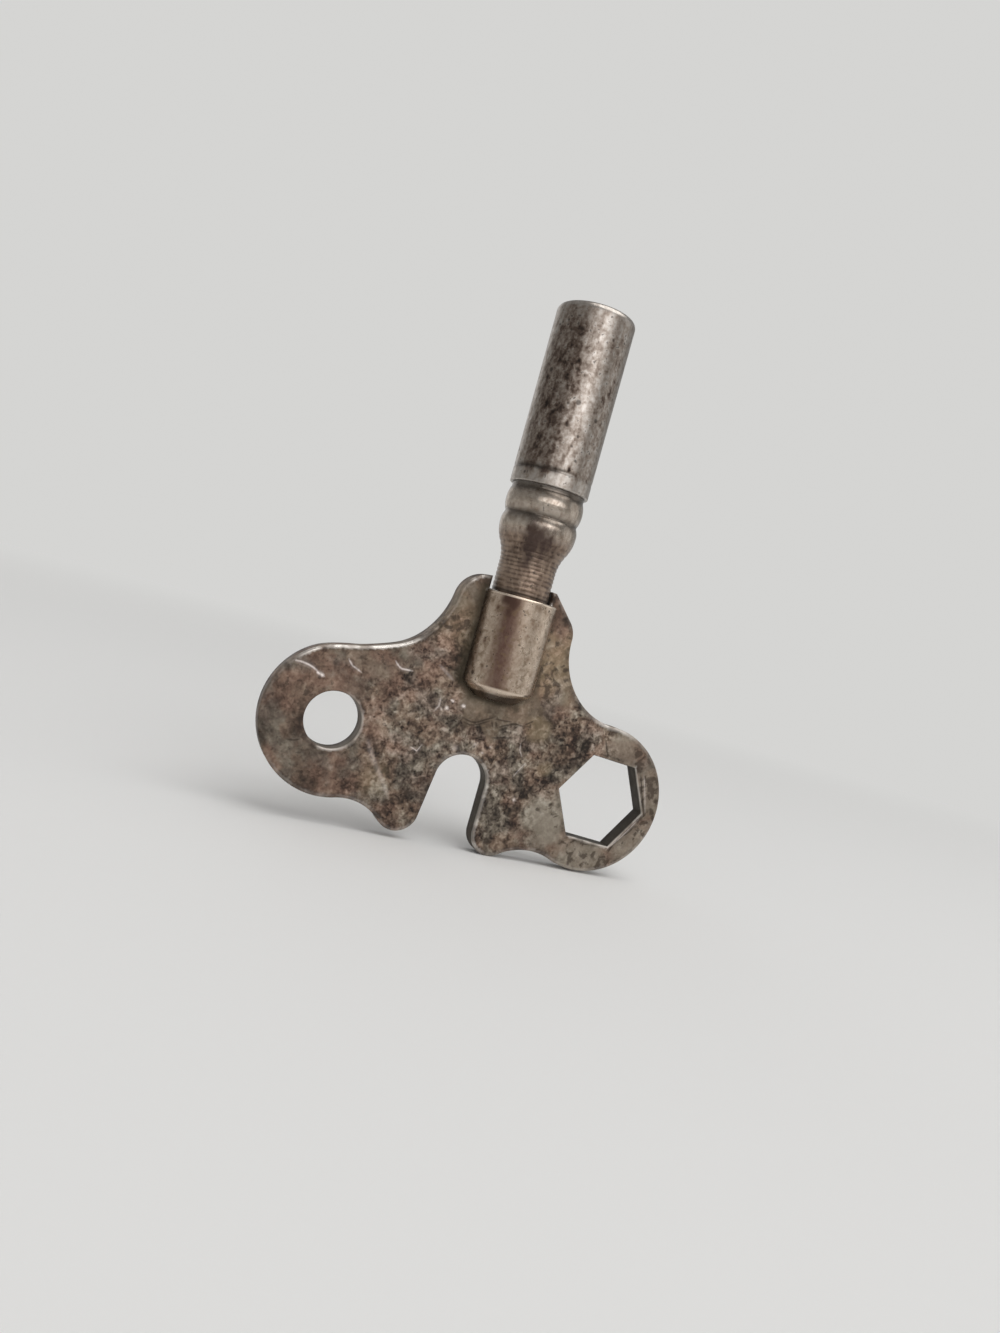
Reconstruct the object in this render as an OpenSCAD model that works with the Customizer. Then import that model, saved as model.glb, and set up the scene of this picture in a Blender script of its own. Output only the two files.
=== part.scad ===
/* [Barrel] */
// Outside diameter of the barrel
barrel_d = 8; // [7.6:0.1:10]
// Length of the barrel, from its mouth to the upper groove
barrel_len = 18; // [14:0.1:26]
// Rounding of the rim round the mouth
rim_r = 0.7; // [0.2:0.05:0.9]
// Rounding of the barrel's lip above the upper groove
lip_r = 0.1; // [0.05:0.05:0.3]

/* [Winding square] */
// Width of the square socket across its flats
square_af = 4.5; // [3:0.05:4.8]
// Depth of the square below the mouth
square_depth = 14; // [8:0.1:16]
// Diameter of the hole drilled before the square was cut
pilot_d = 4.4; // [2.8:0.05:4.7]
// How far the drilled hole runs on below the square
pilot_run = 1.5; // [0.5:0.1:3]
// Point angle of the drill
drill_angle = 118; // [90:1:140]
// Diameter of the countersink at the mouth
lead_in_d = 6; // [5:0.1:6.4]
// Depth of the countersink
lead_in_depth = 0.8; // [0.4:0.1:1.5]

/* [Bead and bulb] */
// Diameter at the bottom of both turned grooves
groove_d = 7.35; // [6.6:0.05:7.45]
// Width of the groove between the barrel and the bead
upper_groove_w = 0.45; // [0.3:0.05:1.5]
// Width of the groove between the bead and the bulb
lower_groove_w = 0.15; // [0.1:0.05:1]
// Largest diameter of the bead
bead_d = 7.84; // [7.5:0.02:8.4]
// Height of the bead
bead_h = 2.4; // [1.6:0.1:4]
// Largest diameter of the bulb
bulb_d = 7.8; // [7.5:0.02:8.4]
// Height of the bulb's rounded top, from the groove to its largest diameter
bulb_top_h = 0.9; // [0.5:0.05:2]
// Length of the curve that draws the bulb in to the neck
swell_len = 4; // [3:0.1:7]

/* [Neck and collar] */
// Diameter of the neck
neck_d = 5.8; // [5:0.05:6.4]
// Length of the straight neck, down to the collar's shoulder
neck_len = 3.1; // [2.9:0.1:6]
// Diameter of the collar that grips the bow
collar_d = 7.9; // [7.4:0.05:10]
// Length of the collar, with its tapered end
collar_len = 10.5; // [7:0.1:14]
// Length of the taper at the collar's end
collar_taper = 1.15; // [0.6:0.05:2]
// Diameter that the taper ends at
collar_end_d = 4.8; // [4:0.1:6]
// Height of the narrow bevel above the taper
collar_bevel = 0.3; // [0.1:0.05:0.5]
// Rounding of the shoulder's edge at the top of the collar
shoulder_edge_r = 0.15; // [0.05:0.05:0.4]

/* [Joint] */
// Room for braze round the bow in the collar's saw cut
braze_gap = 0.05; // [0.02:0.01:0.15]
// How far the saw cut runs into the neck, past the collar's shoulder
saw_overrun = 0.15; // [0.05:0.05:0.5]
// Gap between the neck and the ear on the round hole's side
hole_ear_gap = 0.65; // [0.2:0.05:1]
// Gap between the neck and the ear on the hexagon's side
hex_ear_gap = 0.15; // [0.1:0.05:1]

/* [Bow] */
// Thickness of the plate
bow_t = 2; // [1.2:0.1:3]
// Distance from the collar's shoulder down to the line through both holes
bow_drop = 17; // [15.5:0.1:20]
// Lean of the bow in its saw cut, as brazed
bow_skew = 4.1; // [0:0.1:4.5]
// How far the bow sits off the shank's axis, towards the hexagon, as brazed
bow_shift = 0.2; // [0:0.05:0.5]

/* [Round-hole lobe] */
// Diameter of the round hole
hole_d = 5.5; // [4:0.05:8]
// Distance from the centre line to the round hole
hole_x = 14.2; // [13:0.1:16]
// Radius of the lobe round it
hole_lobe_r = 7.4; // [6.5:0.1:8.5]
// Distance from the centre line to that lobe's centre
hole_lobe_x = 13.7; // [13:0.1:16]
// Radius of the fillet from the lobe to its foot
hole_valley_fillet = 5.1; // [4:0.1:8]
// Radius of the fillet from the lobe to its ear
hole_shoulder_fillet = 8.6; // [7:0.1:11]

/* [Hexagon lobe] */
// Width of the hexagonal hole across its flats
hex_af = 8.8; // [6:0.1:10]
// Distance from the centre line to the hexagon
hex_x = 15.7; // [14:0.1:17]
// Radius of the lobe round it
hex_lobe_r = 7.8; // [7:0.1:9]
// Distance from the centre line to that lobe's centre
hex_lobe_x = 14.8; // [14:0.1:17]
// Radius of the fillet from the lobe to its foot
hex_valley_fillet = 6.4; // [5:0.1:9]
// Radius of the fillet from the lobe to its ear
hex_shoulder_fillet = 7.5; // [6:0.1:11]

/* [Ear on the round hole's side] */
// Radius of the ear's outer corner
hole_ear_r = 2.9; // [2.4:0.1:3.2]
// Distance from the centre line to the centre of that corner
hole_ear_x = 3.6; // [3.4:0.1:4.4]
// Height of that centre above the line through the holes
hole_ear_z = 15.2; // [14.4:0.1:16]
// Slope of the ear's top edge, up towards the neck
hole_ear_slope = 5; // [4:1:20]
// Rise of that edge from the corner to the ear's blunt tip
hole_ear_rise = 0.2; // [0.1:0.05:0.3]

/* [Ear on the hexagon's side] */
// Radius of the ear's outer corner
hex_ear_r = 2.5; // [2.1:0.1:3]
// Distance from the centre line to the centre of that corner
hex_ear_x = 4; // [3.8:0.1:4.8]
// Height of that centre above the line through the holes
hex_ear_z = 14.6; // [14:0.1:15.6]
// Slope of the ear's top edge, up towards the neck
hex_ear_slope = 42; // [30:1:50]
// Rise of that edge from the corner to the ear's blunt tip
hex_ear_rise = 2.2; // [1.6:0.1:2.6]

/* [Feet and notch] */
// Radius of a foot
foot_r = 2.2; // [1.6:0.1:2.4]
// Distance from the centre line to a foot's centre
foot_x = 5.2; // [5:0.1:5.6]
// Depth of a foot's centre below the line through the holes
foot_drop = 6.5; // [6:0.1:8]
// Radius of the notch's round top
notch_r = 2.7; // [2.2:0.05:2.8]
// Depth of that round top's centre below the line through the holes
notch_drop = 2.2; // [1.5:0.1:3]

/* [Hidden] */
$fn = 96;
steel = [0.62, 0.58, 0.54];
plate = [0.5, 0.46, 0.42];
// How far a cut runs past the faces that it goes through, and joined outlines past each other
spare = 0.5;
// How far an arc runs into the line or arc that it blends with
blend = 0.002;

// Heights down the shank, from the mouth at zero
barrel_end = -barrel_len;
bead_mid = barrel_end - upper_groove_w - bead_h / 2;
bulb_top = bead_mid - bead_h / 2 - lower_groove_w;
bulb_mid = bulb_top - bulb_top_h;
neck_top = bulb_mid - swell_len;
shoulder = neck_top - neck_len;
collar_end = shoulder - collar_len;

// Top of the saw cut
saw_top = shoulder + saw_overrun;

// Centres of a foot and of the ears' corners, seen from the middle of the line through the holes
foot = [foot_x, -foot_drop];
hole_ear = [hole_ear_x, hole_ear_z];
hex_ear = [hex_ear_x, hex_ear_z];

// Radius of an arc with this chord and rise
function arc_radius(chord, rise) = (chord * chord / 4 + rise * rise) / (2 * rise);

// Centre of the arc of radius r that touches two discs from outside, to the left of the way from a to b
function fillet_centre(a, ra, b, rb, r) =
    let (gap = norm(b - a))
    let (along = (b - a) / gap)
    let (across = [-along.y, along.x])
    let (reach = ((ra + r) ^ 2 - (rb + r) ^ 2 + gap ^ 2) / (2 * gap))
    a + along * reach + across * sqrt((ra + r) ^ 2 - reach ^ 2);

// Plates cut to each of the outlines given
module cut_plate(t = bow_t) {
    for (i = [0:$children - 1]) linear_extrude(t, center = true) children(i);
}

// Material between two discs, from the bow's middle out to a fillet that blends with both
module web(a, ra, b, rb, r) {
    centre = fillet_centre(a, ra - blend, b, rb - blend, r);
    difference() {
        cut_plate() polygon([[0, 0], a, centre, b]);
        cut_plate(bow_t + spare) translate(centre) circle(r);
    }
}

// Half profile of a bar's end from one level up, with its corner rounded
module end_profile(r, edge) {
    square([r - edge, edge]);
    intersection() {
        translate([r - edge, 0]) circle(edge);
        translate([r - edge, 0]) square(edge);
    }
}

// Half profile of a bar from one height up to another, with both corners rounded
module bar_profile(r, low, high, low_edge, high_edge) {
    translate([0, low + low_edge]) square([r, high - low - low_edge - high_edge]);
    translate([0, low + low_edge]) mirror([0, 1]) end_profile(r, low_edge);
    translate([0, high - high_edge]) end_profile(r, high_edge);
}

// Half profile of a round bulge that rises from the groove's diameter between two heights
module bulge_profile(r, middle, chord, low, high) {
    curve = arc_radius(chord, r - groove_d / 2);
    intersection() {
        translate([r - curve, middle]) circle(curve);
        translate([0, low]) square([r, high - low]);
    }
}

// Half profile of the S curve from the bulb's largest diameter down to the neck
module swell_profile() {
    wide = bulb_d / 2;
    narrow = neck_d / 2;
    curve = arc_radius(swell_len, (wide - narrow) / 2);
    half = swell_len / 2;
    intersection() {
        translate([wide - curve, bulb_mid]) circle(curve);
        translate([0, bulb_mid - half]) square([wide, half]);
    }
    difference() {
        translate([0, neck_top]) square([wide, half]);
        translate([narrow + curve, neck_top]) circle(curve);
    }
}

module shank_profile() {
    core = groove_d / 2;
    bar_profile(barrel_d / 2, barrel_end, 0, lip_r, rim_r);
    translate([0, bulb_mid]) square([core, barrel_end - bulb_mid + lip_r]);
    bulge_profile(bead_d / 2, bead_mid, bead_h, bead_mid - bead_h / 2, bead_mid + bead_h / 2);
    bulge_profile(bulb_d / 2, bulb_mid, 2 * bulb_top_h, bulb_mid, bulb_top);
    swell_profile();
    translate([0, shoulder - spare]) square([neck_d / 2, neck_len + spare]);
    translate([0, collar_end]) square([collar_d / 2, collar_len - shoulder_edge_r]);
    translate([0, shoulder - shoulder_edge_r]) end_profile(collar_d / 2, shoulder_edge_r);
}

// The square, the drilled hole that runs on below it, and the countersunk mouth
module winding_socket() {
    drill_tip = pilot_d / 2 / tan(drill_angle / 2);
    pilot_end = -square_depth - pilot_run;
    translate([-square_af / 2, -square_af / 2, -square_depth]) cube([square_af, square_af, square_depth + spare]);
    translate([0, 0, pilot_end]) cylinder(h = pilot_run + spare, d = pilot_d);
    translate([0, 0, pilot_end - drill_tip]) cylinder(h = drill_tip, d1 = 0, d2 = pilot_d);
    translate([0, 0, -lead_in_depth]) cylinder(h = lead_in_depth, d1 = square_af, d2 = lead_in_d);
}

// What is turned away at the collar's end to leave its bevel and taper
module taper_cut() {
    side = collar_d / 2;
    taper_top = collar_end + collar_taper;
    rotate_extrude() polygon([
        [collar_end_d / 2, collar_end],
        [side - collar_bevel / 2, taper_top],
        [side, taper_top + collar_bevel],
        [side + spare, taper_top + collar_bevel],
        [side + spare, collar_end - spare],
        [collar_end_d / 2, collar_end - spare],
    ]);
}

module saw_cut() {
    width = bow_t + 2 * braze_gap;
    depth = saw_top - collar_end;
    translate([-collar_d, -width / 2, collar_end - spare]) cube([2 * collar_d, width, depth + spare]);
}

module shank() {
    color(steel) difference() {
        rotate_extrude() shank_profile();
        winding_socket();
        taper_cut();
        saw_cut();
    }
}

// One wing of the bow, on the right: its lobe, ear and foot joined by webs
module wing(lobe, lobe_r, valley_fillet, ear, ear_r, shoulder_fillet, slope, rise) {
    crest = ear + (ear_r - blend) * [sin(slope), cos(slope)];
    tip = crest + rise * [-1 / tan(slope), 1];
    cut_plate() {
        translate(lobe) circle(lobe_r);
        translate(ear) circle(ear_r);
        translate(foot) circle(foot_r);
        polygon([[-spare, -foot_drop], foot, lobe, ear, crest, tip, [-spare, tip.y]]);
    }
    web(ear, ear_r, lobe, lobe_r, shoulder_fillet);
    web(lobe, lobe_r, foot, foot_r, valley_fillet);
}

module hole_wing() {
    lobe = [hole_lobe_x, 0];
    wing(lobe, hole_lobe_r, hole_valley_fillet,
        hole_ear, hole_ear_r, hole_shoulder_fillet, hole_ear_slope, hole_ear_rise);
}

module hex_wing() {
    lobe = [hex_lobe_x, 0];
    wing(lobe, hex_lobe_r, hex_valley_fillet,
        hex_ear, hex_ear_r, hex_shoulder_fillet, hex_ear_slope, hex_ear_rise);
}

// The round-topped notch between the feet, whose sides run straight on to each foot
module notch() {
    top = [0, -notch_drop];
    way = foot - top;
    turn = atan2(way.y, way.x) + acos((notch_r + foot_r - blend) / norm(way));
    side = [cos(turn), sin(turn)];
    upper = top + notch_r * side;
    lower = upper + norm(way) * [side.y, -side.x];
    translate(top) circle(notch_r + blend);
    polygon([upper, lower, [-lower.x, lower.y], [-upper.x, upper.y], top]);
}

module bow_plate() {
    difference() {
        union() {
            hex_wing();
            mirror([1, 0]) hole_wing();
        }
        cut_plate(bow_t + spare) {
            translate([-hole_x, 0]) circle(d = hole_d);
            translate([hex_x, 0]) circle(d = hex_af / cos(30), $fn = 6);
            notch();
        }
    }
}

// The slot between the ears, cut square with the shank, with its floor just under the top of the saw cut
module neck_slot() {
    width = neck_d + hole_ear_gap + hex_ear_gap;
    translate([-neck_d / 2 - hole_ear_gap, -bow_t, saw_top - braze_gap]) cube([width, 2 * bow_t, bow_drop]);
}

module bow() {
    color(plate) difference() {
        translate([bow_shift, 0, shoulder]) rotate([90, 0, 0])
            rotate(-bow_skew) translate([0, -bow_drop]) bow_plate();
        neck_slot();
    }
}

shank();
bow();
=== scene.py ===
import math
import random

import bpy
import numpy as np
from mathutils import Matrix, Vector, noise
from mathutils.geometry import delaunay_2d_cdt
from mathutils.kdtree import KDTree


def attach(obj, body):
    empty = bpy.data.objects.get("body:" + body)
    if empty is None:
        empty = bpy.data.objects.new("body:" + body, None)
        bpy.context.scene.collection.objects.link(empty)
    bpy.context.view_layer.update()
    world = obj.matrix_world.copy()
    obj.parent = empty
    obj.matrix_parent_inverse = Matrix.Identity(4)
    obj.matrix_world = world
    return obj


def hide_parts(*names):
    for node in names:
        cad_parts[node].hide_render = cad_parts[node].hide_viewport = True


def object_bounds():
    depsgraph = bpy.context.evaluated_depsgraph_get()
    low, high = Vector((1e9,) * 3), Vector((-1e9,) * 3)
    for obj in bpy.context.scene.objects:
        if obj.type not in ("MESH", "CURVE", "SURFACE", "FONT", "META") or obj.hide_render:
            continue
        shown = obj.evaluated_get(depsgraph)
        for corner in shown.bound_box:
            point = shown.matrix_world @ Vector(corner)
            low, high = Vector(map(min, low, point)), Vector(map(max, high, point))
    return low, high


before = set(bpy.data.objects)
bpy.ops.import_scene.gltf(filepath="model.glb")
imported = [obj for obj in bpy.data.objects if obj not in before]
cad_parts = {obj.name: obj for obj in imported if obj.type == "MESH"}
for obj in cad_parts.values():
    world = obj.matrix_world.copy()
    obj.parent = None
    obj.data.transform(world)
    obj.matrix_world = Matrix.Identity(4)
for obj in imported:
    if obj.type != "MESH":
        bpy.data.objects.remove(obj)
cad_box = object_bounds()

# Lengths are in millimetres up to the point where a mesh, light or camera is made.
MM = 0.001
SEED = 7

# An outline turns sharply where it turns by more than this, and a stretch is straight where it is this
# many times longer than its neighbour
CORNER_DEG = 24
STRAIGHT_RATIO = 2.5

# Camera, fitted to the photograph: its place and its three axes in the CAD frame
PHOTO_W = 1000
PHOTO_H = 1333
FOCAL_PX = 1000
SENSOR = 36
EYE = np.array([-36.2155, -93.3290, -32.5704])
EYE_RIGHT = np.array([0.901618, -0.339844, 0.267564])
EYE_UP = np.array([-0.237249, 0.128666, 0.962890])
EYE_FORWARD = np.array([0.361659, 0.931639, -0.035380])
CAMERA_TURN = math.degrees(math.atan2(EYE[1], EYE[0]))

# Turned shank: heights run down from the socket's mouth, which lies at 0
SEGMENTS = 180
ROW_STEP = 0.12
NECK_PIECES = 3
SQUARE_AF = 4.5
SQUARE_DEPTH = 14
PILOT_D = 4.4
PILOT_DEPTH = 15.5
DRILL_ANGLE = 118
LEAD_IN_D = 6
LEAD_IN_DEPTH = 0.8
SAW_W = 2.1
SAW_TOP = -28.85
BARREL_END = -18.0
SCRIBED_LINE_Z = -16.45
SCRIBED_DEPTH = 0.05
SCRIBED_HALF_W = 0.11
SEAM_Z = -20.93
POLISHED_Z = (-23.0, -18.0)
NECK_Z = (-29.05, -22.0)
MATTE_TOP = -25.6
SHOULDER_Z = -29.0
COLLAR_R = 3.95
COLLAR_END = -39.5
TAPER_TOP = -38.35
TAPER_END_R = 2.4
FOOT_ROUND = 0.3
FOOT_CAP_R = 0.8
FOOT_CAP_ROWS = 14
LATHE_TOP = -22.9
LATHE_END = -28.9
LATHE_PITCH = 0.43
LATHE_DEPTH = 0.05
UNEVEN_DEPTH = 0.006

# Pits in the barrel and collar: the heights between which they lie, and the ranges of radius and depth
PIT_COUNT = 140
BARREL_PITS = (-17.2, -0.9)
COLLAR_PITS = (-38.2, -29.4)
PIT_R = (0.1, 0.26)
LARGE_PIT = 1.6
PIT_DEPTH = (0.01, 0.03)

# Sides of the shank, in degrees right of the camera: where the barrel is tarnished and carries a painted dark
# reflection, the painted dark reflection down the collar at its upper and lower end, where the painted shade
# along the seam is darkest, where the neck is matte, and where the collar's foot starts to keep its sharp
# edge
TARNISH_SIDE = -29
DARK_REFLECTION_HIGH = -7
DARK_REFLECTION_LOW = 3
SEAM_SHADE_SIDE = -14
MATTE_SIDE = -62
CRISP_SIDE = 15

# Fainter tarnish on other sides of the barrel: the side, its spread in degrees and its strength
FAINT_TARNISH = [(52, 26, 0.5), (160, 40, 0.6)]

# Dark blots on the shank: the photograph's pixel at the middle, radius in millimetres, strength
BLOTS = [
    (580, 331, 0.4, 0.9), (566, 353, 0.42, 0.9), (564, 361, 0.4, 0.8), (577, 361, 0.35, 0.8),
    (576, 320, 0.3, 0.5), (573, 343, 0.35, 0.7), (579, 370, 0.35, 0.8), (567, 376, 0.4, 0.8),
    (572, 386, 0.4, 1), (548, 376, 0.4, 0.6), (554, 356, 0.4, 0.6), (557, 384, 0.4, 0.7),
    (613, 345, 0.35, 0.8), (618, 354, 0.3, 0.6), (615, 384, 0.3, 0.8), (609, 396, 0.3, 0.8),
    (552, 414, 0.4, 1.1), (551, 421, 0.4, 1), (547, 403, 0.5, 0.9), (556, 407, 0.4, 0.8),
    (539, 436, 0.4, 0.6), (535, 445, 0.4, 0.6), (553, 447, 0.35, 0.5), (567, 422, 0.18, 1.3),
    (574, 440, 0.18, 1.3), (569, 470, 0.2, 1.7), (587, 480, 0.2, 1.1), (576, 476, 0.18, 1),
    (603, 402, 0.3, 0.9), (610, 395, 0.35, 0.9), (596, 412, 0.3, 0.9), (529, 469, 0.4, 1),
    (543, 470, 0.45, 1.2), (480, 633, 0.24, 1.3), (485, 640, 0.24, 1.2), (473, 658, 0.2, 1.2),
    (482, 665, 0.2, 1.1), (493, 600, 0.18, 1), (498, 607, 0.22, 1.2), (533, 623, 0.22, 0.9),
    (536, 627, 0.2, 0.9), (528, 637, 0.16, 1.1), (528, 660, 0.2, 0.8), (540, 608, 0.25, 0.9),
]

# Purple-brown marks on the shank, given in the same way: burns, and painted dark reflections on the swell and
# at the collar's top
BURNS_AND_DARK_REFLECTIONS = [
    (533, 530, 0.9, 1), (531, 543, 1.1, 1.1), (529, 556, 0.8, 0.9), (541, 536, 0.85, 1),
    (546, 544, 1.1, 0.9), (553, 553, 0.9, 0.6), (516, 536, 0.28, 0.5), (513, 549, 0.35, 0.5),
    (509, 569, 0.35, 0.4), (521, 489, 0.45, 0.4), (531, 490, 0.4, 0.3), (508, 598, 0.5, 1.3),
    (514, 604, 0.55, 1.2), (509, 612, 0.45, 0.8), (529, 468, 0.35, 0.45), (543, 470, 0.4, 0.5),
]
BLOT_STRETCH = 1.5
BLOT_RAGGED = 0.4

# Stamped bow
FRONT = -1
BACK = 1
EDGE_ROLL = 0.24
HOLE_ROLL = 0.14
ROLL_STEPS = 5
WALL_ROWS = 4
OUTLINE_STEP = 0.22
CORNER_CLEAR = 1.6
GRID_STEP = 0.20
GRID_ROW = 0.866 * GRID_STEP
GRID_JITTER = 0.04
GRID_CLEAR = 0.6 * GRID_STEP
LINE_STEP = 0.07
FINE_CLEAR = 0.06
FINE_GAP = 0.13
PLATE_HALF = 1.0
FLAT_BORDER = 0.5
BORDER_IN = 0.34
BORDER_HALF_W = 0.16

# Painted shade on the walls of the openings, by how dark they are: the round hole, the hexagon, and the notch
# between the feet
HOLE_SHADE = {1: 0.45, 2: 1.0}
NOTCH_SHADE = 0.85
NOTCH_X = -1.1
NOTCH_REACH = 4.2
NOTCH_TOP = -46.0

# Shallow dents in each face, with the ranges of their radius and depth
DENT_COUNT = 46
DENT_R = (0.3, 1.1)
DENT_DEPTH = (0.012, 0.045)

# Unevenness of the plate's faces: depth in millimetres, and waves per millimetre
FACE_WAVES = [(0.03, 0.16), (0.008, 0.9)]
FACE_PHASE = 3.0

# Small corrections of the bow's outline on top of its left wing, which make the hollow there flatter:
# the photograph's pixel, how far it reaches and by how much it lifts the outline, in millimetres
OUTLINE_LIFTS = [(343, 645, 1.7, -0.12), (384, 645, 2.3, 0.27)]

# Bright scratches on the bow: the photograph's pixels that each runs through, half its width and its
# depth in millimetres, and its brightness. The last three are the burr beside the hexagon.
SCRATCHES = [
    ([(291, 659), (303, 662), (313, 667), (321, 674)], 0.09, 0.04, 0.85),
    ([(317, 671), (321, 674), (324, 676)], 0.15, 0.05, 1),
    ([(349, 659), (353, 666), (356, 668), (361, 672)], 0.08, 0.04, 0.75),
    ([(396, 661), (400, 667), (403, 669), (413, 671)], 0.08, 0.04, 0.85),
    ([(368, 740), (372, 756), (380, 775), (388, 798)], 0.22, 0.01, 0.22),
    ([(435, 710), (437, 708), (439, 706), (440, 702), (441, 697)], 0.09, 0.02, 0.5),
    ([(446, 709), (447, 708), (448, 707)], 0.16, 0.04, 1),
    ([(451, 700), (453, 701), (454, 702)], 0.11, 0.04, 0.9),
    ([(462, 706), (464, 706), (465, 707)], 0.15, 0.04, 1),
    ([(441, 708), (442, 710)], 0.09, 0.02, 0.5),
    ([(482, 754), (483, 752)], 0.14, 0.02, 0.4),
    ([(490, 746), (491, 748)], 0.10, 0.02, 0.35),
    ([(452, 749), (455, 748), (458, 749)], 0.25, 0.01, 0.25),
    ([(474, 744), (476, 746)], 0.28, 0.01, 0.2),
    ([(411, 747), (417, 751), (421, 746)], 0.06, 0.03, 0.7),
    ([(513, 800), (515, 800)], 0.14, 0.03, 0.8),
    ([(440, 665), (447, 673), (453, 680)], 0.14, 0.01, 0.25),
    ([(521, 744), (520, 750), (522, 757)], 0.06, 0.02, 0.4),
    ([(514, 776), (520, 769), (526, 763)], 0.06, 0.02, 0.45),
    ([(636, 770), (638, 785), (640, 800), (642, 815)], 0.08, -0.03, 0.5),
    ([(644, 774), (645, 795), (645, 813)], 0.07, -0.02, 0.35),
    ([(638, 820), (623, 835), (607, 849)], 0.08, -0.03, 0.45),
]

# Thin dark lines on the bow: where the braze stopped running, a crack, and the groove beside the burr
DARK_LINES = [
    [(462, 717), (467, 720), (472, 722), (478, 722), (485, 720), (492, 718), (495, 717)],
    [(464, 722), (470, 725), (476, 725), (483, 723), (490, 721)],
    [(479, 723), (480, 728), (480, 733)],
    [(492, 722), (493, 727)],
    [(496, 722), (497, 727)],
    [(496, 719), (504, 721), (512, 722)],
    [(498, 728), (504, 726), (511, 725), (517, 725), (522, 726), (524, 728)],
    [(510, 724), (516, 724), (521, 726)],
    [(492, 738), (497, 738), (502, 738), (512, 738)],
    [(472, 739), (478, 738), (483, 737)],
    [(525, 725), (530, 723), (534, 721)],
    [(606, 740), (607, 749), (608, 758)],
    [(287, 739), (293, 740), (300, 739)],
    [(641, 774), (642, 792), (643, 810)],
    [(633, 828), (628, 833), (623, 836)],
    [(619, 838), (613, 845), (608, 852)],
]
DARK_LINE_W = 0.09

# Patches of the bow's tarnish by kind: pixel at the middle, radius in millimetres, strength
PATCHES = {
    "mottled": [
        (425, 735, 7.5, 0.72), (520, 760, 6.5, 1), (500, 815, 4.5, 0.7), (470, 750, 4.0, 1),
        (390, 790, 5.0, 0.7), (455, 650, 4.5, 0.65), (585, 735, 4.0, 1), (556, 668, 3.0, 0.75),
    ],
    "smooth": [
        (545, 817, 3.3, 1), (580, 855, 3.0, 0.9), (652, 795, 3.0, 0.8), (630, 848, 3.0, 0.8),
        (622, 748, 2.6, 0.65), (358, 690, 1.6, 0.35), (290, 764, 1.3, 0.25), (470, 590, 1.6, 0.4),
        (280, 718, 1.2, 0.25), (355, 656, 1.1, 0.35), (380, 671, 1.3, 0.4), (560, 690, 1.5, 0.35),
        (590, 862, 2.0, 0.9), (470, 738, 3.5, 0.1),
    ],
    "braze": [
        (493, 708, 3.0, 1), (520, 704, 2.6, 0.9), (474, 702, 1.8, 0.6),
    ],
    "stain": [
        (538, 729, 1.4, 0.7), (374, 778, 1.6, 0.4), (552, 665, 3.4, 0.8), (462, 615, 3.0, 0.4),
        (544, 770, 0.8, 0.5),
    ],
    "dark": [
        (524, 793, 0.7, 1), (533, 788, 0.8, 0.9), (543, 781, 0.8, 0.9), (549, 777, 0.6, 0.9),
        (570, 762, 0.9, 0.9), (578, 756, 0.9, 0.8), (584, 750, 0.7, 0.9), (505, 809, 0.6, 0.8),
        (512, 828, 0.7, 0.9), (526, 845, 0.7, 0.8), (288, 667, 0.4, 1), (414, 790, 0.8, 0.8),
        (417, 800, 0.9, 0.8), (412, 808, 0.6, 0.7), (400, 765, 1.4, 0.5), (372, 745, 1.2, 0.5),
        (455, 662, 0.9, 0.6), (270, 690, 1.0, 0.4), (520, 855, 3.0, 0.2), (488, 579, 0.7, 1),
        (480, 577, 0.5, 0.7), (575, 735, 1.2, 0.7), (275, 722, 3.0, 0.2), (566, 620, 0.3, 1),
        (565, 625, 0.3, 1), (338, 664, 0.45, 0.8), (270, 702, 0.6, 0.7), (324, 649, 0.4, 0.8),
        (266, 686, 0.5, 0.6), (345, 652, 0.4, 0.6), (335, 772, 3.6, 0.2), (555, 597, 0.5, 0.9),
        (480, 748, 0.3, 0.9), (496, 747, 0.32, 0.9), (495, 758, 0.28, 0.8), (487, 749, 0.28, 0.7),
        (506, 747, 0.28, 0.7), (527, 752, 0.4, 0.6), (525, 760, 0.4, 0.6), (454, 618, 0.25, 0.9),
        (441, 625, 0.25, 0.9),
    ],
    "spots": [
        (574, 852, 1.6, 0.8), (597, 858, 1.5, 1), (641, 762, 1.5, 1), (650, 790, 1.8, 1),
        (645, 822, 1.5, 0.8), (628, 838, 1.2, 0.7), (553, 680, 2.2, 0.9), (560, 640, 1.5, 0.7),
        (455, 622, 1.8, 0.7), (550, 815, 1.5, 0.3),
    ],
}
PATCH_SEED = 11
PATCH_RAGGED = 0.45
PATCH_PACE = 0.7


def pixel_ray(px, py):
    """Direction in the CAD frame that a pixel of the photograph looks along."""
    right = (px - PHOTO_W / 2) / FOCAL_PX
    down = (py - PHOTO_H / 2) / FOCAL_PX
    return EYE_FORWARD + right * EYE_RIGHT - down * EYE_UP


def on_plate(px, py):
    """(x, z) on the bow's front face under a pixel of the photograph."""
    ray = pixel_ray(px, py)
    hit = EYE + ray * (-PLATE_HALF - EYE[1]) / ray[1]
    return np.array([hit[0], hit[2]])


def on_shank(px, py, rows):
    """(turn in degrees, z) on the turned shank under a pixel of the photograph."""
    ray = pixel_ray(px, py)
    flat_ray, flat_eye = ray[:2], EYE[:2]
    a, b = flat_ray @ flat_ray, flat_ray @ flat_eye
    reach = COLLAR_R
    for _ in range(6):
        c = flat_eye @ flat_eye - reach**2
        hit = EYE - ray * (b + math.sqrt(max(b * b - a * c, 0.0))) / a
        reach = np.interp(-hit[2], -rows[:, 0], rows[:, 1])
    return math.degrees(math.atan2(hit[1], hit[0])), hit[2]


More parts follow.
